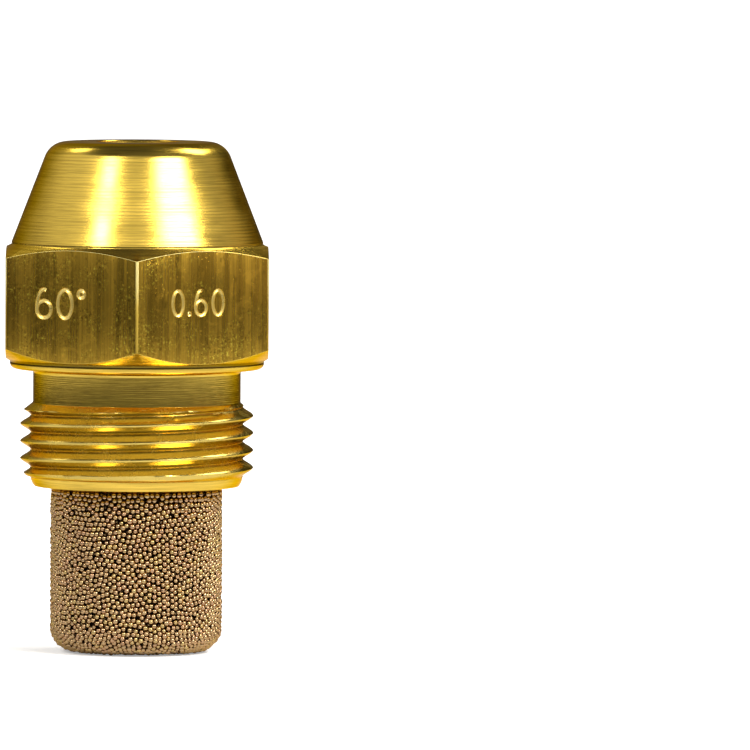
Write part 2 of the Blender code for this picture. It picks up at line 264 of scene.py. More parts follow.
def stroke(name, points, radius):
    """A round-ended tube through points, for a stamped stroke. The path may be a loop."""
    deselect()
    loop = (points[0] - points[-1]).length < 1e-7
    if loop:
        points = points[:-1]
    curve = bpy.data.curves.new(name, "CURVE")
    curve.dimensions = "3D"
    spline = curve.splines.new("POLY")
    spline.points.add(len(points) - 1)
    for knot, place in zip(spline.points, points):
        knot.co = (*place, 1)
    spline.use_cyclic_u = loop
    curve.bevel_depth = radius
    curve.bevel_resolution = 2
    curve.use_fill_caps = True
    tube = bpy.data.objects.new(name, curve)
    bpy.context.scene.collection.objects.link(tube)
    hold(tube)
    bpy.ops.object.convert(target="MESH")
    bpy.ops.object.mode_set(mode="EDIT")
    bpy.ops.mesh.select_all(action="SELECT")
    bpy.ops.mesh.remove_doubles(threshold=0.5e-6)
    bpy.ops.mesh.normals_make_consistent(inside=False)
    bpy.ops.object.mode_set(mode="OBJECT")
    return bpy.context.object


# Shader groups and materials


class Nodes:
    """Adds and links nodes in one tree."""

    def __init__(self, tree):
        self.tree = tree
        self.column = 0

    def add(self, kind, settings=None, **inputs):
        """A node with its settings and inputs. An input that is a socket is linked."""
        node = self.tree.nodes.new(kind)
        self.column += 1
        node.location = (self.column * 180 - 2400, -(self.column % 4) * 160)
        for name, value in (settings or {}).items():
            setattr(node, name, value)
        for name, value in inputs.items():
            self.put(node, name.replace("_", " "), value)
        return node

    def put(self, node, name, value):
        """Set an input by name or number, or link a socket to it."""
        socket = node.inputs[int(name)] if name.strip().isdigit() else node.inputs[name]
        if isinstance(value, bpy.types.NodeSocket):
            self.tree.links.new(value, socket)
        else:
            socket.default_value = value

    def place(self):
        """The object's own coordinates, in metres."""
        return self.add("ShaderNodeTexCoord").outputs["Object"]

    def parts(self, vector):
        """The X, Y and Z of a vector."""
        return self.add("ShaderNodeSeparateXYZ", Vector=vector).outputs

    def stretched(self, vector, scale):
        """Coordinates scaled along each axis."""
        return self.add("ShaderNodeMapping", Vector=vector, Scale=scale).outputs[0]

    def math(self, operation, first, second=0.0):
        """The result of a Math node."""
        node = self.add("ShaderNodeMath", {"operation": operation})
        self.put(node, "0", first)
        self.put(node, "1", second)
        return node.outputs[0]

    def ramp(self, value, low, high, out_low=0.0, out_high=1.0):
        """A value moved from one range to another, kept inside it, with soft ends."""
        node = self.add("ShaderNodeMapRange", {"interpolation_type": "SMOOTHSTEP"})
        for name, number in (("Value", value), ("From Min", low), ("From Max", high),
                             ("To Min", out_low), ("To Max", out_high)):
            self.put(node, name, number)
        return node.outputs["Result"]

    def mix(self, factor, first, second):
        """A mix of two colours."""
        node = self.add("ShaderNodeMix", {"data_type": "RGBA"})
        self.put(node, "Factor", factor)
        for socket, value in ((node.inputs[6], first), (node.inputs[7], second)):
            if isinstance(value, bpy.types.NodeSocket):
                self.tree.links.new(value, socket)
            else:
                socket.default_value = (*value, 1.0)
        return node.outputs[2]

    def noise(self, vector, scale, detail=4.0, roughness=0.6):
        """A noise value between 0 and 1."""
        node = self.add("ShaderNodeTexNoise", Vector=vector, Scale=scale, Detail=detail,
                        Roughness=roughness)
        return node.outputs["Fac"]

    def group(self, name, **inputs):
        """The outputs of a shared group, which is built when it is first used."""
        if name not in bpy.data.node_groups:
            GROUP_MAKERS[name](name)
        tree = bpy.data.node_groups[name]
        return self.add("ShaderNodeGroup", {"node_tree": tree}, **inputs).outputs

    def stain(self, tone, other, strength, size, amount):
        """A tone with another one over it in stains, and the cloud behind the stains."""
        marks = self.group("Tarnish", Size=size, Amount=amount)
        factor = self.math("MULTIPLY", marks["Stain"], strength)
        return self.mix(factor, tone, other), marks["Cloud"]


def new_group(name, inputs, outputs):
    """A shader group with float inputs given as (name, default) and float outputs."""
    group = bpy.data.node_groups.new(name, "ShaderNodeTree")
    for label, default in inputs:
        socket = group.interface.new_socket(label, in_out="INPUT",
                                            socket_type="NodeSocketFloat")
        socket.default_value = default
    for label in outputs:
        group.interface.new_socket(label, in_out="OUTPUT", socket_type="NodeSocketFloat")
    nodes = Nodes(group)
    start = nodes.add("NodeGroupInput").outputs
    return nodes, start, nodes.add("NodeGroupOutput")


def tool_lines_group(name):
    """The feed marks and fine scratches that a lathe tool leaves round the Z axis."""
    nodes, start, end = new_group(
        name, [("Spacing", 0.1), ("Unevenness", 0.5)], ["Height", "Band", "Line"])
    place = nodes.place()
    count = nodes.math("DIVIDE", 1000.0, start["Spacing"])
    vector = nodes.add("ShaderNodeCombineXYZ", X=150.0, Y=150.0, Z=count).outputs[0]
    scaled = nodes.add("ShaderNodeVectorMath", {"operation": "MULTIPLY"})
    nodes.put(scaled, "0", place)
    nodes.put(scaled, "1", vector)
    fine = nodes.noise(scaled.outputs[0], 1.3, 3.0, 0.8)
    wide = nodes.noise(nodes.stretched(place, (220, 220, 800)), 1.0, 3.0)
    height = nodes.parts(scaled.outputs[0])["Z"]
    wave = nodes.math("SINE", nodes.math("MULTIPLY", height, math.pi))
    wave = nodes.math("MULTIPLY", wave, nodes.ramp(wide, 0.42, 0.66, 0.01, 0.15))
    uneven = nodes.math("MULTIPLY", wide, start["Unevenness"])
    ground = nodes.math("ADD", fine, uneven)
    nodes.put(end, "Height", nodes.math("ADD", ground, wave))
    nodes.put(end, "Band", wide)
    nodes.put(end, "Line", nodes.math("ADD", fine, wave))


def drawn_lines_group(name):
    """Lengthwise lines and small pits in the skin of a drawn bar."""
    nodes, start, end = new_group(name, [("Pits", 0.5)], ["Height", "Band", "Speck"])
    place = nodes.place()
    fine = nodes.noise(nodes.stretched(place, (9000, 9000, 130)), 1.0, 2.0)
    wide = nodes.noise(nodes.stretched(place, (1700, 1700, 60)), 1.0, 3.0)
    pits = nodes.ramp(nodes.noise(place, 5200.0, 2.0, 0.5), 0.62, 0.74)
    pits = nodes.math("MULTIPLY", pits, start["Pits"])
    nodes.put(end, "Height", nodes.math("SUBTRACT", fine, pits))
    nodes.put(end, "Band", wide)
    nodes.put(end, "Speck", pits)


def tarnish_group(name):
    """Soft stains and fingermarks, 0 where clean and 1 where stained."""
    nodes, start, end = new_group(name, [("Size", 2.0), ("Amount", 0.5)],
                                  ["Stain", "Cloud"])
    cloud = nodes.add("ShaderNodeTexNoise", Vector=nodes.place(), Detail=5.0,
                      Roughness=0.62, Distortion=0.8)
    nodes.put(cloud, "Scale", nodes.math("DIVIDE", 1000.0, start["Size"]))
    level = nodes.math("SUBTRACT", 0.80, nodes.math("MULTIPLY", start["Amount"], 0.4))
    edge = nodes.math("ADD", level, 0.09)
    nodes.put(end, "Stain", nodes.ramp(cloud.outputs["Fac"], level, edge))
    nodes.put(end, "Cloud", cloud.outputs["Fac"])


GROUP_MAKERS = {
    "Tool lines": tool_lines_group,
    "Drawn lines": drawn_lines_group,
    "Tarnish": tarnish_group,
}


def new_metal(name, tint=(0.95, 0.62, 0.20), **constants):
    """A metal material and its node helper, with uniform values set on the shader.

    tint is the colour that the metal's edges turn towards where they are seen edge-on.
    """
    material = bpy.data.materials.new(name)
    material.use_nodes = True
    shader = material.node_tree.nodes["Principled BSDF"]
    shader.inputs["Metallic"].default_value = 1.0
    shader.inputs["Specular Tint"].default_value = (*tint, 1.0)
    for label, value in constants.items():
        shader.inputs[label.replace("_", " ")].default_value = value
    return material, Nodes(material.node_tree)


def finish(material, nodes, tone, roughness, height, depth):
    """Feed a colour, a roughness and a relief of this depth into the shader."""
    shader = material.node_tree.nodes["Principled BSDF"]
    nodes.put(shader, "Base Color", tone)
    nodes.put(shader, "Roughness", roughness)
    relief = nodes.add("ShaderNodeBump", Strength=1.0, Distance=depth * MM, Height=height)
    nodes.put(shader, "Normal", relief.outputs[0])
    return material


def shade(colour, red, green=None, blue=None):
    """A colour made darker or lighter, by one factor or by one for each part."""
    factors = (red, red, red) if green is None else (red, green, blue)
    return tuple(min(1.0, part * factor) for part, factor in zip(colour, factors))


def turned_brass(name, colour, spacing=0.10, roughness=0.20):
    """Lathe-turned brass: bright, with fine lines round the axis and faint stains."""
    material, nodes = new_metal(name, Anisotropic=0.5)
    lines = nodes.group("Tool lines", Spacing=spacing, Unevenness=0.6)
    tone = nodes.mix(nodes.ramp(lines["Line"], 0.34, 0.60), shade(colour, 0.70), colour)
    tone, cloud = nodes.stain(tone, shade(colour, 0.75, 0.70, 0.9), 0.35, 2.2, 0.35)
    base = nodes.ramp(lines["Band"], 0.3, 0.75, roughness * 0.7, roughness * 1.2)
    rough = nodes.math("ADD", base, nodes.math("MULTIPLY", cloud, 0.06))
    return finish(material, nodes, tone, rough, lines["Height"], 0.006)


def drawn_brass(name, colour):
    """Drawn bar skin on the hexagon: duller, lengthwise streaks, pits and stains."""
    material, nodes = new_metal(name)
    lines = nodes.group("Drawn lines", Pits=0.8)
    place = nodes.place()
    tone = nodes.mix(nodes.ramp(lines["Band"], 0.32, 0.68), shade(colour, 0.82),
                     shade(colour, 1.08))
    groove = nodes.ramp(lines["Height"], 0.35, 0.65, 0.5, 0.0)
    tone = nodes.mix(groove, tone, shade(colour, 0.45))
    dirt = nodes.noise(nodes.stretched(place, (2600, 2600, 1100)), 1.0, 5.0, 0.7)
    tone = nodes.mix(nodes.ramp(dirt, 0.56, 0.66, 0.0, 0.6), tone, shade(colour, 0.35))
    tone, _ = nodes.stain(tone, shade(colour, 0.62, 0.66, 0.75), 0.5, 4.5, 0.55)
    tone, _ = nodes.stain(tone, shade(colour, 1.35), 0.45, 1.1, 0.62)
    tone = nodes.mix(nodes.math("MULTIPLY", lines["Speck"], 0.8), tone, shade(colour, 1.5))
    spots = nodes.noise(place, 6500.0, 3.0, 0.7)
    where = nodes.ramp(nodes.noise(place, 420.0, 2.0), 0.42, 0.62)
    fleck = nodes.math("MULTIPLY", nodes.ramp(spots, 0.56, 0.66), where)
    tone = nodes.mix(nodes.math("MULTIPLY", fleck, 0.9), tone, shade(colour, 2.3))
    nick = nodes.math("MULTIPLY", nodes.ramp(spots, 0.34, 0.44, 1.0, 0.0), where)
    tone = nodes.mix(nodes.math("MULTIPLY", nick, 0.8), tone, shade(colour, 0.25))
    rough = nodes.ramp(lines["Band"], 0.25, 0.75, 0.22, 0.34)
    return finish(material, nodes, tone, rough, lines["Height"], 0.005)


def thread_brass(name, colour):
    """Brass of the holder thread: paler and smoother than the turned faces."""
    material, nodes = new_metal(name)
    lines = nodes.group("Tool lines", Spacing=0.16, Unevenness=0.8)
    pale = shade(colour, 0.84, 0.94, 1.5)
    tone, cloud = nodes.stain(pale, shade(pale, 0.7), 0.4, 1.2, 0.45)
    worn = nodes.ramp(lines["Band"], 0.35, 0.65, 0.25, 0.0)
    tone = nodes.mix(worn, tone, shade(pale, 0.75))
    rough = nodes.ramp(cloud, 0.3, 0.7, 0.16, 0.30)
    return finish(material, nodes, tone, rough, lines["Height"], 0.003)


def stamped_brass(name, colour):
    """Brass inside the stamped figures: pale and smooth from the punch."""
    material, nodes = new_metal(name, Metallic=0.8)
    tone, cloud = nodes.stain(shade(colour, 1.0, 1.15, 2.2), shade(colour, 0.7),
                              0.5, 0.5, 0.6)
    rough = nodes.ramp(cloud, 0.3, 0.7, 0.26, 0.42)
    return finish(material, nodes, tone, rough, cloud, 0.01)


def worn_highlit_brass(name, colour):
    """Brass rubbed pale on the corners, most of all at their upper ends: partly wear, partly a
    painted highlight.
    """
    material, nodes = new_metal(name)
    # Paler and less metallic towards the top: wear and a painted highlight on the corners.
    worn = nodes.ramp(nodes.parts(nodes.place())["Z"], 21.0 * MM, 23.4 * MM)
    nodes.put(material.node_tree.nodes["Principled BSDF"], "Metallic",
              nodes.ramp(worn, 0.0, 1.0, 0.95, 0.6))
    tone = nodes.mix(worn, shade(colour, 0.8), shade(colour, 1.0, 1.25, 3.0))
    tone, cloud = nodes.stain(tone, shade(colour, 0.8), 0.4, 0.5, 0.6)
    rough = nodes.ramp(cloud, 0.3, 0.7, 0.42, 0.58)
    return finish(material, nodes, tone, rough, cloud, 0.01)


def turned_steel(name, colour):
    """Turned stainless steel with fine rings."""
    material, nodes = new_metal(name, (0.9, 0.9, 0.9), Anisotropic=0.6)
    parts = nodes.parts(nodes.place())
    reach = nodes.math("SQRT", nodes.math("ADD", nodes.math("POWER", parts["X"], 2.0),
                                          nodes.math("POWER", parts["Y"], 2.0)))
    rings = nodes.add("ShaderNodeTexNoise", {"noise_dimensions": "1D"},
                      W=nodes.math("ADD", reach, parts["Z"]), Scale=14000.0, Detail=3.0)
    tone, _ = nodes.stain(colour, shade(colour, 0.75), 0.4, 1.5, 0.4)
    rough = nodes.ramp(rings.outputs["Fac"], 0.3, 0.7, 0.2, 0.32)
    return finish(material, nodes, tone, rough, rings.outputs["Fac"], 0.0015)


def bronze_balls(name, colour):
    """Sintered bronze. Each ball has its own tint, and darkens towards its foot: painted shade
    between the balls, partly oxide too.
    """
    material, nodes = new_metal(name)
    tint = nodes.add("ShaderNodeAttribute", {"attribute_name": "tint"}).outputs["Fac"]
    rise = nodes.add("ShaderNodeAttribute", {"attribute_name": "rise"}).outputs["Fac"]
    tone = nodes.mix(nodes.ramp(tint, 0.0, 0.35), shade(colour, 1.0, 0.91, 1.0), colour)
    tone = nodes.mix(nodes.ramp(tint, 0.65, 1.0), tone, shade(colour, 1.1, 1.16, 0.95))
    tone, _ = nodes.stain(tone, shade(colour, 0.7), 0.35, 1.6, 0.5)
    # Painted shade between the balls, partly oxide too: each ball darkens towards its foot.
    foot = shade(colour, 0.13, 0.07, 0.08)
    tone = nodes.mix(nodes.ramp(rise, 0.05, 0.65), foot, tone)
    grain = nodes.noise(nodes.place(), 14000.0, 2.0)
    rough = nodes.ramp(grain, 0.3, 0.7, 0.13, 0.26)
    return finish(material, nodes, tone, rough, grain, 0.002)


def pore_bronze(name, colour):
    """Bronze deep between the balls, dark partly from oxide and partly as painted shade."""
    material, nodes = new_metal(name)
    grain = nodes.noise(nodes.place(), 4500.0, 3.0)
    tone = nodes.mix(nodes.ramp(grain, 0.35, 0.65), shade(colour, 0.4), colour)
    tone, _ = nodes.stain(tone, shade(colour, 0.5), 0.5, 1.6, 0.5)
    rough = nodes.ramp(grain, 0.3, 0.7, 0.55, 0.8)
    return finish(material, nodes, tone, rough, grain, 0.02)


def ground_bronze(name, colour, ball):
    """The filter's ground end: sectioned balls, pale, with the pores between them painted dark
    as shade.
    """
    material, nodes = new_metal(name)
    cells = nodes.add("ShaderNodeTexVoronoi", {"feature": "DISTANCE_TO_EDGE"},
                      Vector=nodes.place(), Scale=1 / ball)
    solid = nodes.ramp(cells.outputs["Distance"], 0.03, 0.16)
    tone, _ = nodes.stain(colour, shade(colour, 0.7), 0.4, 1.6, 0.5)
    # The pores are painted dark as the shade inside the holes.
    tone = nodes.mix(solid, shade(colour, 0.12), tone)
    rough = nodes.ramp(solid, 0.0, 1.0, 0.7, 0.32)
    return finish(material, nodes, tone, rough, solid, 0.05)


# Pieces


def body_outline(sizes):
    """Outline of the body: down the cone, hexagon and neck, and up the bore."""
    corner = sizes.across_flats / math.sqrt(3) / MM
    slope = sizes.cone_slope
    lean = math.atan(slope)
    front, edge = BODY_HIGH.z / MM, sizes.front_edge / MM
    base_r, base_z = 7.69, 25.03
    tangent_z = front - edge * (1 - math.sin(lean))
    tangent_r = base_r - slope * (tangent_z - base_z)
    rear = BODY_LOW.z / MM
    hole, bore, shoulder = 2.55, 3.5, 29.4
    points = [(hole, front - 0.03), (hole + 0.03, front)]
    points += arc(tangent_r - edge * math.cos(lean), front - edge, edge, 90,
                  math.degrees(lean), 14)
    points += arc(base_r - 0.12, base_z + 0.02, 0.12, math.degrees(lean), -20, 4)
    points += [(base_r, 24.96), (base_r + 0.03, 24.92)]
    points += [(9.4, 24.23 - 0.45 * (9.4 - corner)), (9.4, 18.70 + 0.613 * (9.4 - corner))]
    points += [(r, 18.70 - 0.613 * (corner - r)) for r in (7.98, 7.80)]
    points += arc(7.77 - 0.35, 17.68, 0.35, 12, -78, 7)
    points += [(6.62, 17.28)]
    points += arc(6.35 + 0.22, 17.28 - 0.22, 0.22, 90, 180, 4)
    points += [(6.35, 15.28), (6.40, 15.20), (6.40, 14.9), (6.1, 14.7), (6.1, 11.2)]
    points += [(6.40, 11.0), (6.50, 10.80)]
    points += arc(6.50 - 1.0, 10.80, 1.0, 0, -40, 5)[1:]
    points += [(5.62, rear + 0.08), (5.45, rear), (bore + 0.72, rear)]
    points += [(bore, rear + 0.72), (bore, shoulder), (hole, shoulder)]
    return [(r * MM, z * MM) for r, z in points]


def hex_bar(sizes):
    """The bar that the hexagon is cut from, its long edges a little worn."""
    deselect()
    bpy.ops.mesh.primitive_cylinder_add(
        vertices=6, radius=sizes.across_flats / math.sqrt(3), depth=40 * MM,
        location=(0, 0, 0))
    bar = bpy.context.object
    bpy.ops.object.mode_set(mode="EDIT")
    bpy.ops.transform.translate(value=(0, 0, 20 * MM))
    bpy.ops.mesh.select_mode(type="EDGE")
    bpy.ops.mesh.select_all(action="DESELECT")
    mesh = bmesh.from_edit_mesh(bar.data)
    for edge in mesh.edges:
        top, end = edge.verts
        edge.select_set(abs(top.co.z - end.co.z) > 10 * MM)
    bmesh.update_edit_mesh(bar.data)
    bpy.ops.mesh.bevel(offset=sizes.worn_edge, segments=3)
    bpy.ops.mesh.select_mode(type="VERT")
    bpy.ops.object.mode_set(mode="OBJECT")
    return bar


def wear_chamfer_edges(body, sizes):
    """Round the curved edges where the flats meet the turned chamfers."""
    hold(body)
    bpy.ops.object.mode_set(mode="EDIT")
    mesh = bmesh.from_edit_mesh(body.data)
    flat_reach = sizes.across_flats / 2
    for edge in mesh.edges:
        edge.select = False
        if len(edge.link_faces) != 2:
            continue
        on_flat = [abs(face.normal.z) < 0.01
                   and abs(face.normal.dot(face.verts[0].co) - flat_reach) < 2e-6
                   for face in edge.link_faces]
        leaning = max(abs(face.normal.z) for face in edge.link_faces)
        edge.select = any(on_flat) and leaning > 0.3
    bmesh.update_edit_mesh(body.data)
    bpy.ops.mesh.bevel(offset=sizes.worn_edge * 0.25, segments=2)
    bpy.ops.object.mode_set(mode="OBJECT")


def oval(width, height, start=0, end=360, count=28):
    """Points of an oval or part of one, across and up, angles in degrees."""
    points = []
    for i in range(count + 1):
        angle = math.radians(start + (end - start) * i / count)
        points.append((width / 2 * math.cos(angle), height / 2 * math.sin(angle)))
    return points


def nought(width, height):
    """Strokes of the figure 0."""
    return [oval(width, height)]


def six(width, height):
    """Strokes of the figure 6: a bowl, and a stem that leaves its left side."""
    bowl = height * 0.6
    low = (height - bowl) / 2
    ring = [(x, y - low) for x, y in oval(width, bowl)]
    stem_w = width * 0.98
    stem_h = height * 2 - bowl
    stem = [(x + stem_w / 2 - width / 2, y + height / 2 - stem_h / 2)
            for x, y in oval(stem_w, stem_h, 72, 180, 14)]
    return [ring, stem]


def stamp(body, flat_angle, glyphs, low, thickness, sizes):
    """Stamp figures into the flat whose outward direction is at flat_angle degrees."""
    out = Vector((math.cos(math.radians(flat_angle)), math.sin(math.radians(flat_angle)), 0))
    across = Vector((0, 0, 1)).cross(out)
    face = out * (sizes.across_flats / 2)
    lift = thickness - sizes.stamp_depth
    for centre, middle, strokes in glyphs:
        for path in strokes:
            points = [face + out * lift + across * (centre * MM + x * MM)
                      + Vector((0, 0, low + (middle + y) * MM)) for x, y in path]
            cut(body, stroke("stamp_stroke", points, thickness))


def stamp_numbers(body, sizes):
    """The spray angle on one flat and a plain figure on the next."""
    tall, wide = 1.72, 1.0
    half = tall / 2
    angle_mark = [
        (-1.89, half, six(wide, tall)),
        (-0.42, half, nought(wide, tall)),
        (0.72, tall - 0.24, nought(0.42, 0.44)),
    ]
    stamp(body, 240, angle_mark, 20.69 * MM, 0.14 * MM, sizes)
    tall, wide = 1.5, 0.74
    half = tall / 2
    figure = [
        (-1.75, half, nought(wide, tall)),
        (-0.95, 0.10, [oval(0.13, 0.13, count=8)]),
        (-0.15, half, six(wide, tall)),
        (1.05, half, nought(wide, tall)),
    ]
    stamp(body, 300, figure, 20.923 * MM, 0.118 * MM, sizes)


def give_materials(piece, materials):
    """Replace a piece's materials."""
    piece.data.materials.clear()
    for material in materials:
        piece.data.materials.append(material)


# The places of the body's seven materials, in the order that make_body gives them.
TURNED, FLATS, WORN_HIGHLIT, THREAD, NECK, UNDER_HEX_SHADE, FIGURES = range(7)


def skin_faces(piece, sizes):
    """Give each face of the body the material of the place it lies in."""
    reach = sizes.across_flats / 2
    for face in piece.data.polygons:
        face.material_index = TURNED
        centre, normal = face.center, face.normal
        level = math.hypot(centre.x, centre.y)
        if level > 6.42 * MM and 10.9 * MM < centre.z < 15.2 * MM:
            face.material_index = THREAD
        if 15.2 * MM < centre.z < 17.2 * MM and level > 6.0 * MM:
            face.material_index = NECK
        # Painted shade: the rounding under the hexagon is darkened to stand in for the dark
        # that it mirrors.
        if 17.66 * MM < centre.z < 17.93 * MM and level > 7.6 * MM:
            face.material_index = UNDER_HEX_SHADE
        if not 17.9 * MM < centre.z < 24.9 * MM:
            continue
        if level < reach - 0.3 * MM:
            continue
        nearest = round(math.atan2(centre.y, centre.x) / (math.pi / 3)) * math.pi / 3
        out = Vector((math.cos(nearest), math.sin(nearest), 0))
        aside = abs(centre.cross(out).z)
        if abs(centre.dot(out) - reach) < 0.008 * MM and normal.dot(out) > 0.995:
            face.material_index = FLATS
        elif 20.0 * MM < centre.z < 23.0 * MM and aside < 3.4 * MM:
            face.material_index = FIGURES
        # Corners and chamfer edges: wear with a painted highlight, paler towards the top.
        elif 19.0 * MM < centre.z < 23.8 * MM or abs(normal.z) < 0.38:
            face.material_index = WORN_HIGHLIT


def make_body(sizes, finishes):
    """The brass body."""
    body = turned("body_casting", body_outline(sizes), sizes.steps)
    cut(body, hex_bar(sizes), "INTERSECT")
    wear_chamfer_edges(body, sizes)
    rod = threaded_rod("holder_thread", HOLDER_CREST, HOLDER_ROOT, HOLDER_PITCH, 14.48 * MM,
                       10.74 * MM, 15.25 * MM, sizes.steps, 0.085 * MM, 20)
    limit_radius(rod, [(10.70 * MM, 6.49 * MM), (10.80 * MM, 6.80 * MM),
                       (11.30 * MM, 7.2 * MM), (14.6 * MM, 7.2 * MM),
                       (15.05 * MM, 6.62 * MM), (15.28 * MM, 6.34 * MM)])
    cut(body, rod, "UNION")
    tap = threaded_rod("inner_tap", TAP_CREST, TAP_ROOT, INNER_PITCH, INNER_PHASE,
                       9.0 * MM, 19.6 * MM, sizes.inner_steps, 0.02 * MM, 10)
    cut(body, tap)
    stamp_numbers(body, sizes)
    give_materials(body, [
        turned_brass("turned_brass", finishes.turned_brass),
        drawn_brass("drawn_brass", finishes.drawn_brass),
        # Worn corners, painted paler towards the top as a highlight.
        worn_highlit_brass("worn_highlit_brass", finishes.turned_brass),
        thread_brass("thread_brass", finishes.turned_brass),
        turned_brass("neck_brass", finishes.turned_brass, 0.06, 0.12),
        # Brass darkened as painted shade, for the rounding under the hexagon.
        turned_brass("under_hex_shade_brass", shade(finishes.turned_brass, 0.30)),
        stamped_brass("stamped_brass", finishes.turned_brass),
    ])
    skin_faces(body, sizes)
    smooth(body, 32)
    body.name = "brass_body"
    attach(body, "body")
    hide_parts("nozzle_body")


def make_orifice_disc(sizes, finishes):
    """The steel orifice disc."""
    front = DISC_HIGH.z / MM
    points = [(0.28, front - 0.02), (0.31, front), (2.42, front), (2.5, front - 0.08)]
    points += [(2.5, 29.38), (3.40, 29.38), (3.45, 29.33), (3.45, 26.35), (3.40, 26.3)]
    points += [(2.9, 26.3), (0.5, 28.7), (0.5, 29.9)]
    points += [(0.14, 30.4), (0.14, 30.75)]
    disc = turned("orifice_insert", [(r * MM, z * MM) for r, z in points], sizes.steps)
    give_materials(disc, [turned_steel("turned_steel", finishes.steel)])
    smooth(disc)
    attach(disc, "orifice")
    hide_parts("orifice_disc")


def side_box(size, centre, turn):
    """A box tool, turned about the nozzle's axis by turn radians."""
    deselect()
    bpy.ops.mesh.primitive_cube_add(size=1, location=(0, 0, 0))
    box = bpy.context.object
    bpy.ops.object.mode_set(mode="EDIT")
    bpy.ops.transform.resize(value=size)
    bpy.ops.transform.translate(value=centre)
    bpy.ops.object.mode_set(mode="OBJECT")
    box.data.transform(Matrix.Rotation(turn, 4, "Z"))
    return box


def plain_rod(radius, length, middle, faces):
    """A plain rod on the axis, to drill with."""
    deselect()
    bpy.ops.mesh.primitive_cylinder_add(vertices=faces, radius=radius, depth=length,
                                        location=(0, 0, 0))
    rod = bpy.context.object
    rod.data.transform(Matrix.Translation((0, 0, middle)))
    return rod


def add_inner_thread(piece, sizes, heights, foot):
    """Join a run of the inner thread to a piece.

    heights are where the thread starts, is full, starts to fade and ends, and foot is the
    radius that it starts from, all in millimetres.
    """
    rod = threaded_rod("inner_thread", INNER_CREST, INNER_ROOT, INNER_PITCH, INNER_PHASE,
                       heights[0] * MM, heights[3] * MM, sizes.inner_steps, 0.02 * MM, 10)
    radii = (foot, 4.0, 4.0, 3.35)
    limit_radius(rod, [(z * MM, radius * MM) for z, radius in zip(heights, radii)])
    cut(piece, rod, "UNION")


def make_distributor(sizes, finishes):
    """The steel distributor, with oil grooves and swirl slots."""
    low, tip = CONE_LOW.z / MM, CONE_HIGH.z / MM
    points = [(0, tip), (0.66, tip), (3.26, 25.9), (3.41, 25.9), (3.45, 25.86)]
    points += [(3.45, low + 0.3), (3.15, low), (0, low)]
    cone = turned("swirl_cone", [(r * MM, z * MM) for r, z in points], sizes.inner_steps)
    for i in range(4):
        turn = math.tau * (i + 0.5) / 4
        cut(cone, side_box((1.0 * MM, 0.8 * MM, 9.6 * MM),
                           (3.45 * MM, 0, (low + tip) / 2 * MM), turn))
        cut(cone, side_box((4.0 * MM, 0.35 * MM, 0.7 * MM),
                           (2.36 * MM, 0.35 * MM, tip * MM), turn))
    give_materials(cone, [turned_steel("distributor_steel", finishes.steel)])
    smooth(cone)
    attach(cone, "swirler")
    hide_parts("distributor")


def make_locking_screw(sizes, finishes):
    """The brass locking screw."""
    low, high = SCREW_LOW.z / MM, SCREW_HIGH.z / MM
    points = [(0, high), (2.7, high), (2.9, high - 0.2), (2.9, 19.2), (3.2, 19.0)]
    points += [(3.2, low + 0.1), (3.1, low), (1.7, low), (1.6, low + 0.1), (1.6, 20.3)]
    points += [(0, 20.3)]
    outline = [(r * MM, z * MM) for r, z in points]
    screw = turned("screw_blank", outline, sizes.inner_steps)
    add_inner_thread(screw, sizes, (low + 0.05, low + 0.7, 18.5, 19.1), 3.35)
    cut(screw, plain_rod(1.6 * MM, 6.5 * MM, 17.05 * MM, 64))
    turn = math.radians(20)
    cut(screw, side_box((12 * MM, 1.2 * MM, 2.4 * MM), (0, 0, low * MM), turn))
    drill = plain_rod(0.6 * MM, 10 * MM, 0, 32)
    drill.data.transform(Matrix.Translation((0, 0, 19.95 * MM))
                         @ Matrix.Rotation(math.radians(7), 4, "Z")
                         @ Matrix.Rotation(math.radians(90), 4, "X"))
    cut(screw, drill)
    give_materials(screw, [turned_brass("screw_brass", finishes.turned_brass, 0.08)])
    smooth(screw)
    screw.name = "clamp_screw"
    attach(screw, "screw")
    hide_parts("locking_screw")


def make_filter_bush(sizes, finishes):
    """The brass bush that holds the filter."""
    low, high = BUSH_LOW.z / MM, BUSH_HIGH.z / MM
    shoulder = FILTER_HIGH.z / MM + 0.02
    points = [(2.36, high), (3.1, high), (3.2, high - 0.1), (3.2, shoulder + 0.1)]
    points += [(3.38, shoulder + 0.1), (3.38, shoulder), (3.45, shoulder), (3.45, low + 0.1)]
    points += [(3.35, low), (2.36, low), (2.3, low + 0.06), (2.3, high - 0.06)]
    outline = [(r * MM, z * MM) for r, z in points]
    bush = turned("bush_blank", outline, sizes.inner_steps)
    heights = (shoulder + 0.03, shoulder + 0.6, high - 0.7, high - 0.06)
    add_inner_thread(bush, sizes, heights, 3.5)
    cut(bush, plain_rod(2.3 * MM, 12 * MM, 10 * MM, 64))
    give_materials(bush, [turned_brass("bush_brass", finishes.turned_brass, 0.08)])
    smooth(bush)
    bush.name = "threaded_bush"
    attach(bush, "filter")
    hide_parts("filter_bush")


def filter_rest(point, radius, edge):
    """The nearest place on the rounded cup, and the outward direction there."""
    reach = math.hypot(point.x, point.y)
    side = Vector((point.x / reach, point.y / reach, 0)) if reach > 1e-9 else Vector((1, 0, 0))
    low = FILTER_LOW.z + edge
    if point.z >= low:
        return side * radius + Vector((0, 0, point.z)), side
    inner = radius - edge
    if reach <= inner:
        return Vector((point.x, point.y, FILTER_LOW.z)), Vector((0, 0, -1))
    centre = side * inner + Vector((0, 0, low))
    out = (point - centre).normalized()
    return centre + out * edge, out


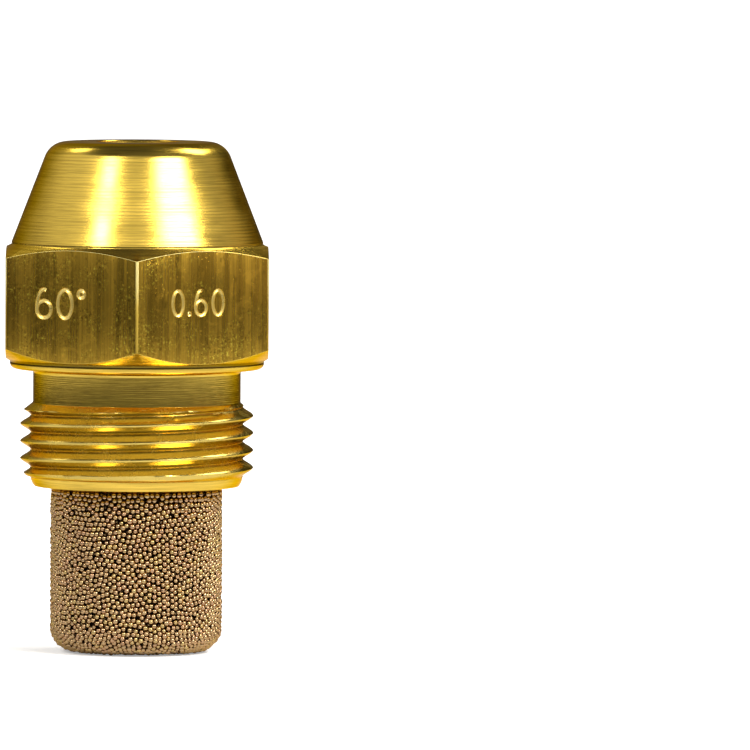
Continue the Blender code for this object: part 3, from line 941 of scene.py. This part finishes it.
def scatter_balls(spacing, depth, radius, edge, top, seed):
    """Places and outward directions of balls packed over the cup, depth under its skin."""
    draw = random.Random(seed)
    round_length = edge * math.pi / 2
    straight = top - FILTER_LOW.z - edge
    length = straight + round_length + radius - edge
    places = []
    rows = round(length / (spacing * math.sqrt(3) / 2))
    for row in range(rows):
        along = (row + 0.5) / rows * length
        if along < straight:
            reach, height = radius, top - along
        elif along < straight + round_length:
            angle = (along - straight) / edge
            reach = radius - edge + edge * math.cos(angle)
            height = FILTER_LOW.z + edge - edge * math.sin(angle)
        else:
            reach, height = max(length - along, 0.2 * spacing), FILTER_LOW.z
        count = max(1, round(math.tau * reach / spacing * 1.08))
        start = draw.random() * math.tau
        for i in range(count):
            angle = start + math.tau * i / count
            nudge = Vector([draw.uniform(-1.0, 1.0) * spacing for _ in range(3)])
            places.append(Vector((reach * math.cos(angle), reach * math.sin(angle), height))
                          + nudge)
    for _ in range(22):
        tree = KDTree(len(places))
        for i, place in enumerate(places):
            tree.insert(place, i)
        tree.balance()
        moved = []
        for i, place in enumerate(places):
            push = Vector((0, 0, 0))
            for other, j, gap in tree.find_range(place, spacing):
                if j != i and gap > 1e-9:
                    push += (place - other) * ((spacing - gap) / gap * 0.45)
            step = place + push
            step.z = min(step.z, top)
            moved.append(filter_rest(step, radius, edge)[0])
        places = moved
    balls = []
    for place in places:
        rest, out = filter_rest(place, radius, edge)
        sink = depth + draw.uniform(0, 0.22) * spacing
        balls.append((rest - out * sink, out))
    return balls


def ball_dome(low):
    """One ball of radius 1 with its hidden back cut off at the height low."""
    deselect()
    bpy.ops.mesh.primitive_uv_sphere_add(segments=9, ring_count=6, radius=1)
    dome = bpy.context.object
    bpy.ops.object.mode_set(mode="EDIT")
    bpy.ops.mesh.select_all(action="SELECT")
    bpy.ops.mesh.bisect(plane_co=(0, 0, low), plane_no=(0, 0, 1), use_fill=True,
                        clear_inner=True)
    bpy.ops.mesh.select_all(action="SELECT")
    bpy.ops.mesh.quads_convert_to_tris()
    bpy.ops.object.mode_set(mode="OBJECT")
    return dome


def copy_balls(name, dome, balls, radius, seed):
    """One mesh of a dome copied to each ball's place, with attributes for the material.

    tint is one random number for each ball. rise is 1 at a ball's crown and falls to its
    foot.
    """
    draw = np.random.default_rng(seed)
    shape = np.array([vertex.co for vertex in dome.data.vertices])
    faces = np.array([list(face.vertices) for face in dome.data.polygons])
    points, corners, tints = [], [], []
    for i, (place, out) in enumerate(balls):
        turn = out.to_track_quat("Z", "Y").to_matrix() @ Matrix.Rotation(
            draw.uniform(0, math.tau), 3, "Z")
        size = radius * draw.uniform(0.84, 1.04)
        stretch = np.array([draw.uniform(0.94, 1.06), draw.uniform(0.94, 1.06), 1.0])
        points.append((shape * stretch * size) @ np.array(turn).T + np.array(place))
        corners.append(faces + i * len(shape))
        tints.append(np.full(len(shape), draw.random()))
    mesh = bpy.data.meshes.new(name)
    mesh.from_pydata(np.concatenate(points).tolist(), [], np.concatenate(corners).tolist())
    tint = mesh.attributes.new("tint", "FLOAT", "POINT")
    tint.data.foreach_set("value", np.concatenate(tints).astype(np.float32))
    rise = mesh.attributes.new("rise", "FLOAT", "POINT")
    rise.data.foreach_set("value", np.tile(shape[:, 2], len(balls)).astype(np.float32))
    cluster = bpy.data.objects.new(name, mesh)
    bpy.context.scene.collection.objects.link(cluster)
    smooth(cluster, 60)
    return cluster


def make_filter(sizes, finishes):
    """The sintered filter: an outer layer of balls over a deep layer painted darker as shade,
    and a porous cup dark as painted shade and oxide.

    The outer layer is two pieces, an upper and a lower one.
    """
    radius = 5.3 * MM
    edge = 1.5 * MM
    ball = sizes.ball / 2
    top = FILTER_HIGH.z - ball
    core_r = (radius - ball * 2.6) / MM
    core_edge = edge / MM - 0.4
    high, inner = FILTER_HIGH.z / MM, 3.5
    low = ball * 2.6 / MM
    points = [(core_r, high - 0.02)]
    points += arc(core_r - core_edge, low + core_edge, core_edge, 0, -88, 10)
    points += [(0.3, low), (0.3, 1.8), (inner - 0.5, 1.8), (inner, 2.3), (inner, high - 0.02)]
    core = turned("filter_core", [(r * MM, z * MM) for r, z in points], sizes.inner_steps)
    give_materials(core, [
        # Dark cup under the balls: painted shade, partly oxide.
        pore_bronze("pore_bronze", finishes.bronze_gap),
        ground_bronze("ground_bronze", finishes.bronze, sizes.ball),
    ])
    for face in core.data.polygons:
        on_end = face.normal.z > 0.9 and face.center.z > FILTER_HIGH.z - 0.1 * MM
        face.material_index = 1 if on_end else 0
    smooth(core, 40)
    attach(core, "filter")
    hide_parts("sintered_filter")
    skin = bronze_balls("bronze_balls", finishes.bronze)
    # The deep layer is a darker copy of the balls: painted shade under the outer layer.
    shaded_deep_skin = bronze_balls("deep_bronze_balls_shaded", shade(finishes.bronze, 0.33))
    outer = scatter_balls(sizes.ball, ball, radius, edge, top, 3)
    under = scatter_balls(sizes.ball * 1.12, ball * 2.1, radius, edge, top, 8)
    middle = FILTER_HIGH.z * 0.44
    dome, cap = ball_dome(-0.2), ball_dome(0.15)
    layers = (("filter_balls_upper", dome, [b for b in outer if b[0].z > middle], 5, skin),
              ("filter_balls_lower", dome, [b for b in outer if b[0].z <= middle], 6, skin),
              ("filter_balls_deep", cap, under, 7, shaded_deep_skin))
    for name, shape, balls, seed, material in layers:
        cluster = copy_balls(name, shape, balls, ball * 1.06, seed)
        give_materials(cluster, [material])
        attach(cluster, "filter")
    bpy.data.objects.remove(dome)
    bpy.data.objects.remove(cap)


# Studio


def area_light(name, azimuth, elevation, distance, size, radiance, colour=(1, 1, 1)):
    """A soft box round the object, given its brightness rather than its power."""
    light = bpy.data.lights.new(name, "AREA")
    light.shape = "RECTANGLE"
    light.size, light.size_y = size
    light.energy = radiance * math.pi * size[0] * size[1]
    light.color = colour
    lamp = bpy.data.objects.new(name, light)
    bpy.context.scene.collection.objects.link(lamp)
    turn, rise = math.radians(azimuth), math.radians(elevation)
    back = Vector((math.sin(turn) * math.cos(rise), -math.cos(turn) * math.cos(rise),
                   math.sin(rise)))
    lamp.location = Vector((0, 0, 16 * MM)) + back * distance
    lamp.rotation_euler = back.to_track_quat("Z", "Y").to_euler()
    lamp.visible_camera = False
    return lamp


def make_world():
    """White to the eye; in reflections a pale room that is dark round the camera."""
    world = bpy.data.worlds.new("studio")
    bpy.context.scene.world = world
    world.use_nodes = True
    nodes = Nodes(world.node_tree)
    background = world.node_tree.nodes["Background"]
    x, y, z = nodes.parts(nodes.add("ShaderNodeTexCoord").outputs["Generated"])
    square = nodes.math("ADD", nodes.math("POWER", x, 2.0), nodes.math("POWER", y, 2.0))
    level = nodes.math("SQRT", nodes.math("ADD", square, 0.0001))
    facing = nodes.math("DIVIDE", nodes.math("MULTIPLY", y, -1.0), level)
    right = nodes.ramp(nodes.math("DIVIDE", x, level), -0.6, 0.6)
    low_side = nodes.mix(right, (0.17, 0.145, 0.135), (0.60, 0.47, 0.38))
    low_side = nodes.mix(nodes.ramp(facing, -0.95, -0.70), (0.08, 0.08, 0.08), low_side)
    low = nodes.mix(nodes.ramp(facing, 0.22, 0.62), low_side, (0.18, 0.19, 0.17))
    high_side = nodes.mix(right, (0.86, 0.86, 0.86), (0.42, 0.42, 0.42))
    high = nodes.mix(nodes.ramp(facing, 0.45, 0.80), high_side, (0.76, 0.76, 0.72))
    high_back = nodes.mix(right, (0.30, 0.30, 0.30), (0.02, 0.02, 0.02))
    high = nodes.mix(nodes.ramp(facing, -0.80, -0.30), high_back, high)
    lift = nodes.math("MULTIPLY", nodes.ramp(facing, -0.72, -0.38, 1.0, 0.0), 0.20)
    room = nodes.mix(nodes.ramp(nodes.math("ADD", z, lift), 0.16, 0.46), low, high)
    room = nodes.mix(nodes.ramp(z, 0.66, 0.82), room, (0.09, 0.09, 0.09))
    seen = nodes.add("ShaderNodeLightPath").outputs["Is Camera Ray"]
    nodes.put(background, "Color", nodes.mix(seen, room, (1.0, 1.0, 1.0)))


def make_floor():
    """A round pale floor. Mirrored in the brass it fades out away from the nozzle."""
    deselect()
    bpy.ops.mesh.primitive_circle_add(vertices=128, radius=3, fill_type="NGON",
                                      location=(0, 0, -0.00002))
    floor = bpy.context.object
    floor.name = "floor"
    material = bpy.data.materials.new("pale_floor")
    material.use_nodes = True
    nodes = Nodes(material.node_tree)
    shader = material.node_tree.nodes["Principled BSDF"]
    place = nodes.place()
    reach = nodes.add("ShaderNodeVectorMath", {"operation": "LENGTH"})
    aside = nodes.add("ShaderNodeVectorMath", {"operation": "DISTANCE"})
    nodes.put(reach, "0", place)
    nodes.put(aside, "0", place)
    nodes.put(aside, "1", (0, 0.05, 0))
    seen = nodes.add("ShaderNodeLightPath").outputs["Is Camera Ray"]
    faded = nodes.mix(nodes.ramp(aside.outputs["Value"], 0.07, 0.13), (0.93, 0.93, 0.93),
                      (0.12, 0.12, 0.12))
    nodes.put(shader, "Base Color", nodes.mix(seen, faded, (0.93, 0.93, 0.93)))
    distance = nodes.ramp(reach.outputs["Value"], 0.01, 0.10)
    glow = nodes.mix(distance, (0.35, 0.35, 0.35), (1.0, 1.0, 1.0))
    nodes.put(shader, "Emission Color", nodes.mix(seen, (0.0, 0.0, 0.0), glow))
    shader.inputs["Emission Strength"].default_value = 1.0
    shader.inputs["Roughness"].default_value = 0.9
    shader.inputs["Specular IOR Level"].default_value = 0.1
    floor.data.materials.append(material)


def make_camera():
    """A long lens, a little above the object, which stands left of the middle."""
    scale = 16.36
    distance = 0.7
    width = 750 / scale * MM
    turn, rise = math.radians(-1.1), math.radians(3.0)
    back = Vector((math.sin(turn) * math.cos(rise), -math.cos(turn) * math.cos(rise),
                   math.sin(rise)))
    right = Vector((math.cos(turn), math.sin(turn), 0))
    target = right * (14.55 * MM) + Vector((0, 0, 17.0 * MM))
    data = bpy.data.cameras.new("camera")
    data.sensor_width = 36
    data.lens = 36 * distance / width
    data.clip_start = 0.01
    data.clip_end = 10
    camera = bpy.data.objects.new("camera", data)
    bpy.context.scene.collection.objects.link(camera)
    camera.location = target + back * distance
    facing = back.to_track_quat("Z", "Y").to_matrix()
    camera.rotation_euler = (facing @ Matrix.Rotation(math.radians(0.3), 3, "Z")).to_euler()
    bpy.context.scene.camera = camera


def make_stage():
    """Floor, lights, world and camera."""
    bpy.context.scene.view_settings.view_transform = "Standard"
    make_world()
    make_floor()
    make_camera()
    area_light("key_right", 45, 36, 0.5, (0.27, 0.17), 16.0, (1.0, 0.98, 0.96))
    area_light("key_left", -38, 38, 0.5, (0.10, 0.17), 15.0, (1.0, 0.98, 0.95))
    area_light("crown_left", -128, 50, 0.5, (0.12, 0.12), 5.0)
    area_light("crown_right", 122, 50, 0.5, (0.20, 0.16), 10.0)


# Operators and panel


def settings():
    """The sizes and finishes kept in the scene."""
    return bpy.context.scene.nozzle_sizes, bpy.context.scene.nozzle_finishes


class NOZZLE_OT_stage(bpy.types.Operator):
    """Build the floor, the lights and the camera"""

    bl_idname = "nozzle.stage"
    bl_label = "Studio"

    def execute(self, context):
        make_stage()
        return {"FINISHED"}


class NOZZLE_OT_body(bpy.types.Operator):
    """Build the brass body with its cone, hexagon and threads"""

    bl_idname = "nozzle.body"
    bl_label = "Body"

    def execute(self, context):
        make_body(*settings())
        return {"FINISHED"}


class NOZZLE_OT_disc(bpy.types.Operator):
    """Build the steel orifice disc"""

    bl_idname = "nozzle.disc"
    bl_label = "Orifice disc"

    def execute(self, context):
        make_orifice_disc(*settings())
        return {"FINISHED"}


class NOZZLE_OT_distributor(bpy.types.Operator):
    """Build the steel distributor"""

    bl_idname = "nozzle.distributor"
    bl_label = "Distributor"

    def execute(self, context):
        make_distributor(*settings())
        return {"FINISHED"}


class NOZZLE_OT_screw(bpy.types.Operator):
    """Build the brass locking screw"""

    bl_idname = "nozzle.screw"
    bl_label = "Locking screw"

    def execute(self, context):
        make_locking_screw(*settings())
        return {"FINISHED"}


class NOZZLE_OT_bush(bpy.types.Operator):
    """Build the brass bush that carries the filter"""

    bl_idname = "nozzle.bush"
    bl_label = "Filter bush"

    def execute(self, context):
        make_filter_bush(*settings())
        return {"FINISHED"}


class NOZZLE_OT_filter(bpy.types.Operator):
    """Build the sintered bronze filter"""

    bl_idname = "nozzle.filter"
    bl_label = "Filter"

    def execute(self, context):
        make_filter(*settings())
        return {"FINISHED"}


OPERATORS = (NOZZLE_OT_stage, NOZZLE_OT_body, NOZZLE_OT_disc, NOZZLE_OT_distributor,
             NOZZLE_OT_screw, NOZZLE_OT_bush, NOZZLE_OT_filter)


class VIEW3D_PT_nozzle(bpy.types.Panel):
    """Lists the nozzle's pieces in the sidebar"""

    bl_label = "Oil Burner Nozzle"
    bl_space_type = "VIEW_3D"
    bl_region_type = "UI"
    bl_category = "Nozzle"

    def draw(self, context):
        sizes, finishes = settings()
        for group in (sizes, finishes):
            box = self.layout.box()
            for name in group.__annotations__:
                box.prop(group, name)
        for operator in OPERATORS:
            self.layout.operator(operator.bl_idname)


CLASSES = (NozzleSizes, NozzleFinishes, *OPERATORS, VIEW3D_PT_nozzle)


def register():
    """Register the classes and hang the settings on the scene."""
    for cls in CLASSES:
        bpy.utils.register_class(cls)
    bpy.types.Scene.nozzle_sizes = bpy.props.PointerProperty(type=NozzleSizes)
    bpy.types.Scene.nozzle_finishes = bpy.props.PointerProperty(type=NozzleFinishes)


def unregister():
    """Undo register."""
    del bpy.types.Scene.nozzle_finishes
    del bpy.types.Scene.nozzle_sizes
    for cls in reversed(CLASSES):
        bpy.utils.unregister_class(cls)


def clear_start():
    """Remove what a new Blender file holds, and nothing of the frame's."""
    for name in ("Cube", "Light", "Camera"):
        if name in bpy.data.objects:
            bpy.data.objects.remove(bpy.data.objects[name])


def main():
    register()
    clear_start()
    bpy.ops.nozzle.stage()
    bpy.ops.nozzle.body()
    bpy.ops.nozzle.disc()
    bpy.ops.nozzle.distributor()
    bpy.ops.nozzle.screw()
    bpy.ops.nozzle.bush()
    bpy.ops.nozzle.filter()


if __name__ == "__main__":
    main()
